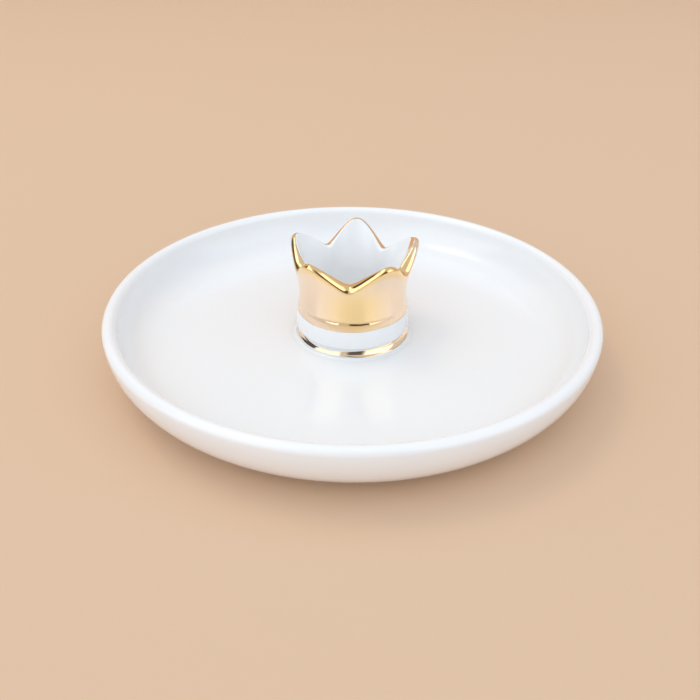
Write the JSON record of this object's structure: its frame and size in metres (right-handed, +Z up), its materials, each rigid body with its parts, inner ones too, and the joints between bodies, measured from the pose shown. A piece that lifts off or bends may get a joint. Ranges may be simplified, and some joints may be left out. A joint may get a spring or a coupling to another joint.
{
  "type": "ring dish",
  "caption": "Shallow round glazed dish on a foot ring, with a small pointed crown standing on its middle to hold rings.",
  "frame": {"origin": "on the table surface under the middle of the dish, at the bottom of the foot ring", "axes": "+Z up along the dish's axis; -Y is the side nearest the viewer in the reference view, +X to the viewer's right"},
  "size_m": [0.115, 0.115, 0.0282],
  "materials": {
    "white_glaze": "glossy transparent glaze over white porcelain",
    "fired_slip": "matt fired porcelain slip",
    "gold_lustre": "bright gold lustre fired over the glaze, a film that takes the glaze's gloss"
  },
  "bodies": {
    "root": {"dish": "white_glaze", "crown": "white_glaze", "luting_slip": "fired_slip", "crown_gold_lustre": "gold_lustre", "foot_gold_line": "gold_lustre"}
  },
  "joints": []
}
